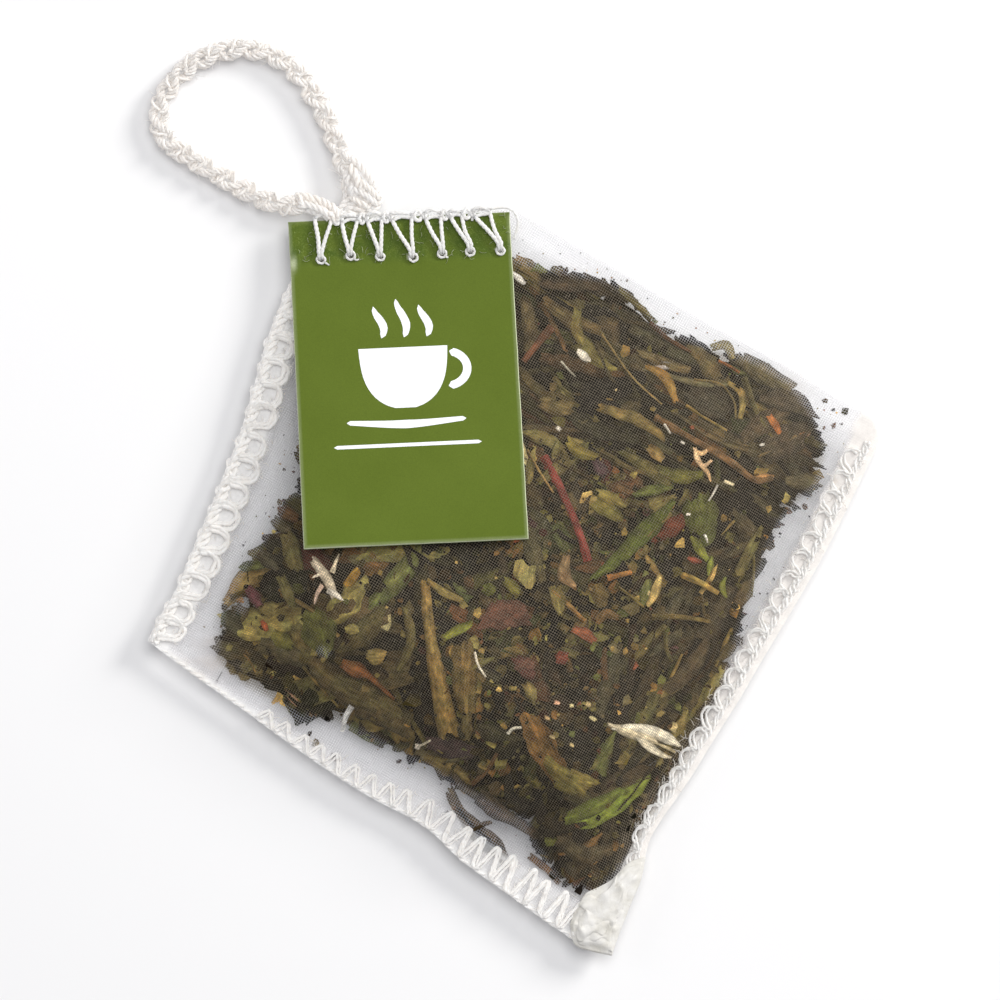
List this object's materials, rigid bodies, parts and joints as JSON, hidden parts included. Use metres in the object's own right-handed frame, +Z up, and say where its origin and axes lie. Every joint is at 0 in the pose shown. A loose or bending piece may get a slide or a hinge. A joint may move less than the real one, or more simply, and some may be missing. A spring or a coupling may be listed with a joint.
{
  "type": "flat stitched mesh tea bag",
  "caption": "Flat mesh tea bag: one sheet folded and overlock-stitched on its open edges, paper tag sewn over the cut corner, thread hanging loop, whole-leaf tea showing inside.",
  "frame": {"origin": "on the surface the bag lies on, under the middle of the pouch and tag (the hanging loop is not counted)", "axes": "+Z up from the table, +Y along the tag's length towards the hanging loop, +X to the right of the tag"},
  "size_m": [0.0836, 0.1066, 0.0114],
  "materials": {
    "mesh_cloth": "sheer square-woven mesh of fine translucent white thread, slight sheen",
    "tag_card": "matt green printed card with pale cut edges",
    "loop_thread": "soft white plaited thread chain",
    "tag_thread": "white twisted thread",
    "seam_thread": "soft white overlock thread",
    "loose_leaf": "small broken dry leaf, dark brown and olive",
    "red_stem": "dry reddish stem",
    "dry_stem": "dry straw and olive stems",
    "green_leaf": "dry green leaf",
    "tan_leaf": "dry tan leaf",
    "fruit_piece": "dried red-brown fruit or petal piece",
    "petal": "dry cream petal",
    "dark_leaf": "dry dark olive leaf"
  },
  "bodies": {
    "root": {"mesh_pouch": "mesh_cloth", "paper_tag": "tag_card", "hanging_loop": "loop_thread", "tag_stitch_thread": "tag_thread", "seam_thread_left": "seam_thread", "seam_thread_bottom": "seam_thread", "seam_thread_right": "seam_thread", "loose_leaf_bed": "loose_leaf", "red_stem": "red_stem", "green_lance_leaf": "green_leaf", "green_broad_leaf": "green_leaf", "upper_green_blade": "green_leaf", "tan_curl_chip": "tan_leaf", "orange_stem": "dry_stem", "cream_twin_stem": "dry_stem", "tan_stem": "dry_stem", "small_green_leaf_a": "green_leaf", "small_green_leaf_b": "green_leaf", "pale_square_chip": "tan_leaf", "green_disc_chip": "green_leaf", "narrow_tan_leaf": "tan_leaf", "maroon_chip": "fruit_piece", "orange_chip": "fruit_piece", "brown_curl_chip": "tan_leaf", "olive_long_stem": "dry_stem", "curved_small_stem": "dry_stem", "red_chip": "fruit_piece", "maroon_round_chip": "fruit_piece", "straw_stem": "dry_stem", "broad_tan_leaf": "tan_leaf", "green_blade_small": "green_leaf", "big_green_leaf": "green_leaf", "light_green_leaf": "green_leaf", "brown_spoon_leaf": "tan_leaf", "tan_disc": "tan_leaf", "tan_ring_chip": "tan_leaf", "dark_olive_stem": "dry_stem", "golden_stub": "tan_leaf", "star_petal": "petal", "olive_side_leaf": "dark_leaf", "olive_side_leaf_b": "dark_leaf", "large_olive_leaf": "dark_leaf", "tan_orange_leaf": "tan_leaf", "forked_cream_petal": "petal", "bright_green_blade": "green_leaf", "forked_dark_twig": "dark_leaf", "brown_main_stem": "dry_stem", "tan_blade": "tan_leaf", "upright_olive_leaf": "dark_leaf", "red_twig": "red_stem", "dark_long_leaf": "dark_leaf", "big_twisted_leaf": "dark_leaf", "tan_olive_leaf": "tan_leaf", "dark_oval_leaf": "dark_leaf", "right_dark_leaf": "dark_leaf", "olive_top_leaf": "dark_leaf"}
  },
  "joints": []
}
